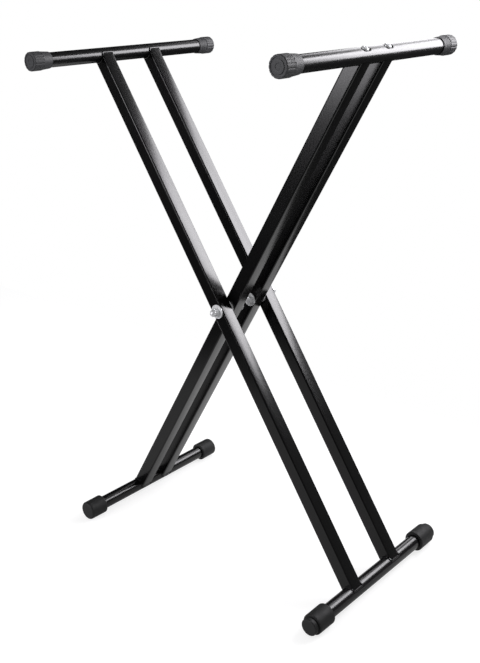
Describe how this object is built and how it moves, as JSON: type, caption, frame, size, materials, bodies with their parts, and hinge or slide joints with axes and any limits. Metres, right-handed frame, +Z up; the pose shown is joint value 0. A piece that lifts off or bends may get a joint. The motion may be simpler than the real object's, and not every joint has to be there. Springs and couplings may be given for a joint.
{
  "type": "folding keyboard stand",
  "caption": "Folding double-braced X stand of square steel tube with round support bars, ridged end caps, rubber feet and a bolted pivot.",
  "frame": {"origin": "on the floor, below the middle of the pivot axis", "axes": "+Z up, +Y along the bars and the pivot axis, +X towards the upper bar that is held by screws"},
  "size_m": [0.5908, 0.4352, 0.9082],
  "materials": {
    "black_paint": "glossy black paint over steel tube",
    "zinc_plate": "bright zinc plate",
    "cap_plastic": "semi-gloss dark grey plastic",
    "foot_rubber": "matte black rubber"
  },
  "bodies": {
    "outer_frame": {"outer_top_bar": "black_paint", "outer_foot_bar": "black_paint", "outer_tube_near": "black_paint", "outer_top_cap_near": "cap_plastic", "outer_foot_cap_near": "foot_rubber", "pivot_bolt_near": "zinc_plate", "pivot_head_washer_near": "zinc_plate", "pivot_spacer_near": "zinc_plate", "pivot_nut_washer_near": "zinc_plate", "pivot_dome_nut_near": "zinc_plate", "outer_tube_far": "black_paint", "outer_top_cap_far": "cap_plastic", "outer_foot_cap_far": "foot_rubber", "pivot_bolt_far": "zinc_plate", "pivot_head_washer_far": "zinc_plate", "pivot_spacer_far": "zinc_plate", "pivot_nut_washer_far": "zinc_plate", "pivot_dome_nut_far": "zinc_plate"},
    "inner_frame": {"inner_top_bar": "black_paint", "inner_foot_bar": "black_paint", "inner_tube_near": "black_paint", "inner_top_cap_near": "cap_plastic", "inner_foot_cap_near": "foot_rubber", "bar_screw_near": "zinc_plate", "tube_plug_near": "zinc_plate", "inner_tube_far": "black_paint", "inner_top_cap_far": "cap_plastic", "inner_foot_cap_far": "foot_rubber", "bar_screw_far": "zinc_plate", "tube_plug_far": "zinc_plate"}
  },
  "joints": [
    {"name": "fold", "type": "hinge", "parent": "outer_frame", "child": "inner_frame", "pos_m": [0, 0, 0.46479], "axis": [0, 1, 0], "range_deg": [-59.6, 36.4]}
  ]
}
